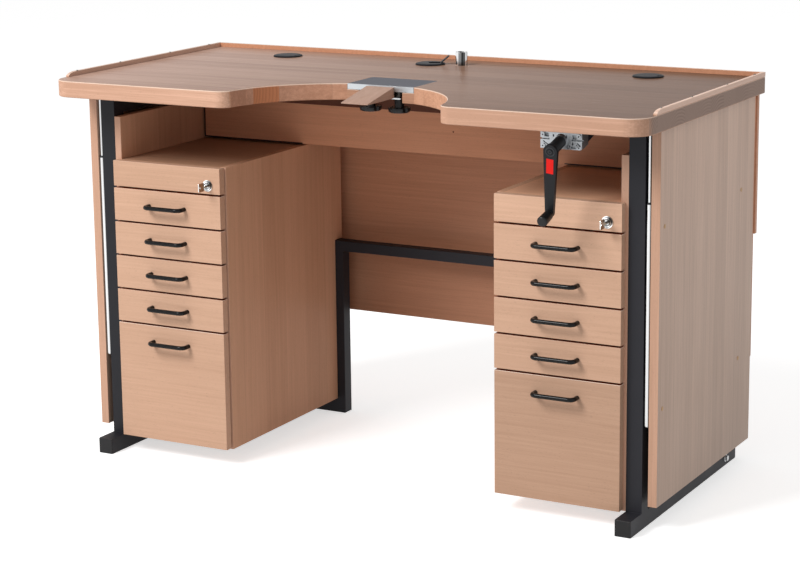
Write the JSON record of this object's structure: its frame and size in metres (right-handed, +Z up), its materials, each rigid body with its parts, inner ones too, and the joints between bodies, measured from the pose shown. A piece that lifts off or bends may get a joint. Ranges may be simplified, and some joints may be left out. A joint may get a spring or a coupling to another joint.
{
  "type": "jewellers workbench",
  "caption": "Height-adjustable jewellers workbench with a cut-out worktop, clamped bench pin, crank-driven lift and two lockable drawer pedestals.",
  "frame": {"origin": "on the floor, under the middle of the bench's outline", "axes": "+X to the user's right, +Y from the user to the back, +Z up"},
  "size_m": [1.4, 0.6899, 0.89],
  "materials": {
    "frame_black": "satin powder coat",
    "black_plastic": "fine-grained black",
    "cylinder_steel": "polished",
    "zinc_steel": "zinc plated",
    "plate_steel": "ground",
    "chrome": "polished",
    "cast_aluminium": "die cast",
    "crank_black": "satin",
    "handle_black": "gloss",
    "beech_worktop": "satin lacquer",
    "beech_trim": "satin lacquer",
    "beech_board": "satin lacquer",
    "beech_front": "satin lacquer",
    "beech_block": "sanded"
  },
  "bodies": {
    "base": {"left_side_frame": "frame_black", "right_side_frame": "frame_black", "rear_frame": "frame_black", "tube_end_caps": "black_plastic", "frame_bolts": "frame_black", "lift_cylinders": "cylinder_steel", "panel_spacers": "zinc_steel", "side_panels": "beech_board", "panel_plugs": "beech_trim", "lower_back_panel": "beech_board", "outer_boards": "beech_board", "pedestal_inner_sides": "beech_board", "pedestal_tops": "beech_board", "pedestal_bottoms": "beech_board", "pedestal_backs": "beech_board", "lock_boards": "beech_front", "lock_barrels": "chrome", "drawer_runners": "beech_block"},
    "lifting_top": {"worktop": "beech_worktop", "edge_strips": "beech_trim", "apron": "beech_board", "upper_rear_panel": "beech_board", "lift_rods": "cylinder_steel", "bench_plate": "plate_steel", "clamp_studs": "zinc_steel", "pump": "cast_aluminium", "pump_bracket": "frame_black", "cable_grommets": "black_plastic", "tool_post": "chrome"},
    "crank": {"crank": "crank_black"},
    "crank_grip": {"crank_grip": "black_plastic"},
    "pin_clamp": {"clamp_bar": "zinc_steel"},
    "left_knob": {"left_knob": "black_plastic"},
    "right_knob": {"right_knob": "black_plastic"},
    "bench_pin": {"bench_pin": "beech_block"},
    "left_grommet_flap": {"left_grommet_flap": "black_plastic"},
    "middle_grommet_flap": {"middle_grommet_flap": "black_plastic"},
    "right_grommet_flap": {"right_grommet_flap": "black_plastic"},
    "left_drawer_1": {"left_drawer_1": "beech_front", "left_handle_1": "handle_black"},
    "left_drawer_2": {"left_drawer_2": "beech_front", "left_handle_2": "handle_black"},
    "left_drawer_3": {"left_drawer_3": "beech_front", "left_handle_3": "handle_black"},
    "left_drawer_4": {"left_drawer_4": "beech_front", "left_handle_4": "handle_black"},
    "left_drawer_5": {"left_drawer_5": "beech_front", "left_handle_5": "handle_black"},
    "right_drawer_1": {"right_drawer_1": "beech_front", "right_handle_1": "handle_black"},
    "right_drawer_2": {"right_drawer_2": "beech_front", "right_handle_2": "handle_black"},
    "right_drawer_3": {"right_drawer_3": "beech_front", "right_handle_3": "handle_black"},
    "right_drawer_4": {"right_drawer_4": "beech_front", "right_handle_4": "handle_black"},
    "right_drawer_5": {"right_drawer_5": "beech_front", "right_handle_5": "handle_black"},
    "left_key": {"left_key": "chrome"},
    "right_key": {"right_key": "chrome"}
  },
  "joints": [
    {"name": "top_lift", "type": "slide", "parent": "base", "child": "lifting_top", "axis": [0, 0, 1], "range_m": [0, 0.3]},
    {"name": "crank_turn", "type": "hinge", "parent": "lifting_top", "child": "crank", "pos_m": [0.506, -0.28905, 0.801], "axis": [0, 0.9613, 0.2756], "range_deg": [0, 14400]},
    {"name": "crank_grip_spin", "type": "hinge", "parent": "crank", "child": "crank_grip", "pos_m": [0.48679, -0.30906, 0.6531], "axis": [0, 0.9613, 0.2756], "continuous": true},
    {"name": "clamp_slide", "type": "slide", "parent": "lifting_top", "child": "pin_clamp", "axis": [0, 0, -1], "range_m": [0, 0.003]},
    {"name": "left_knob_turn", "type": "hinge", "parent": "pin_clamp", "child": "left_knob", "pos_m": [-0.029, -0.09514, 0.815], "axis": [0, 0, -1], "range_deg": [0, 865]},
    {"name": "right_knob_turn", "type": "hinge", "parent": "pin_clamp", "child": "right_knob", "pos_m": [0.041, -0.09514, 0.815], "axis": [0, 0, -1], "range_deg": [0, 865]},
    {"name": "bench_pin_slide", "type": "slide", "parent": "lifting_top", "child": "bench_pin", "axis": [0, -1, 0], "range_m": [0, 0.057]},
    {"name": "left_grommet_flap_turn", "type": "hinge", "parent": "lifting_top", "child": "left_grommet_flap", "pos_m": [-0.417, 0.24095, 0.8631], "axis": [0, 1, 0], "range_deg": [0, 140]},
    {"name": "middle_grommet_flap_turn", "type": "hinge", "parent": "lifting_top", "child": "middle_grommet_flap", "pos_m": [-0.04069, 0.25175, 0.8631], "axis": [-0.4695, 0.8829, 0], "range_deg": [-140, 0]},
    {"name": "right_grommet_flap_turn", "type": "hinge", "parent": "lifting_top", "child": "right_grommet_flap", "pos_m": [0.494, 0.24095, 0.8631], "axis": [0, 1, 0], "range_deg": [0, 140]},
    {"name": "left_drawer_1_slide", "type": "slide", "parent": "base", "child": "left_drawer_1", "axis": [0, -1, 0], "range_m": [0, 0.4]},
    {"name": "left_drawer_2_slide", "type": "slide", "parent": "base", "child": "left_drawer_2", "axis": [0, -1, 0], "range_m": [0, 0.4]},
    {"name": "left_drawer_3_slide", "type": "slide", "parent": "base", "child": "left_drawer_3", "axis": [0, -1, 0], "range_m": [0, 0.4]},
    {"name": "left_drawer_4_slide", "type": "slide", "parent": "base", "child": "left_drawer_4", "axis": [0, -1, 0], "range_m": [0, 0.4]},
    {"name": "left_drawer_5_slide", "type": "slide", "parent": "base", "child": "left_drawer_5", "axis": [0, -1, 0], "range_m": [0, 0.4]},
    {"name": "right_drawer_1_slide", "type": "slide", "parent": "base", "child": "right_drawer_1", "axis": [0, -1, 0], "range_m": [0, 0.4]},
    {"name": "right_drawer_2_slide", "type": "slide", "parent": "base", "child": "right_drawer_2", "axis": [0, -1, 0], "range_m": [0, 0.4]},
    {"name": "right_drawer_3_slide", "type": "slide", "parent": "base", "child": "right_drawer_3", "axis": [0, -1, 0], "range_m": [0, 0.4]},
    {"name": "right_drawer_4_slide", "type": "slide", "parent": "base", "child": "right_drawer_4", "axis": [0, -1, 0], "range_m": [0, 0.4]},
    {"name": "right_drawer_5_slide", "type": "slide", "parent": "base", "child": "right_drawer_5", "axis": [0, -1, 0], "range_m": [0, 0.4]},
    {"name": "left_key_turn", "type": "hinge", "parent": "base", "child": "left_key", "pos_m": [-0.362, -0.23205, 0.63425], "axis": [0, -1, 0], "range_deg": [0, 90]},
    {"name": "right_key_turn", "type": "hinge", "parent": "base", "child": "right_key", "pos_m": [0.581, -0.23205, 0.63425], "axis": [0, -1, 0], "range_deg": [0, 90]}
  ],
  "couplings": [
    {"joint": "crank_turn", "follows": "top_lift", "rad_per_m": 837.75},
    {"joint": "left_knob_turn", "follows": "clamp_slide", "rad_per_m": 5026.5},
    {"joint": "right_knob_turn", "follows": "clamp_slide", "rad_per_m": 5026.5}
  ]
}
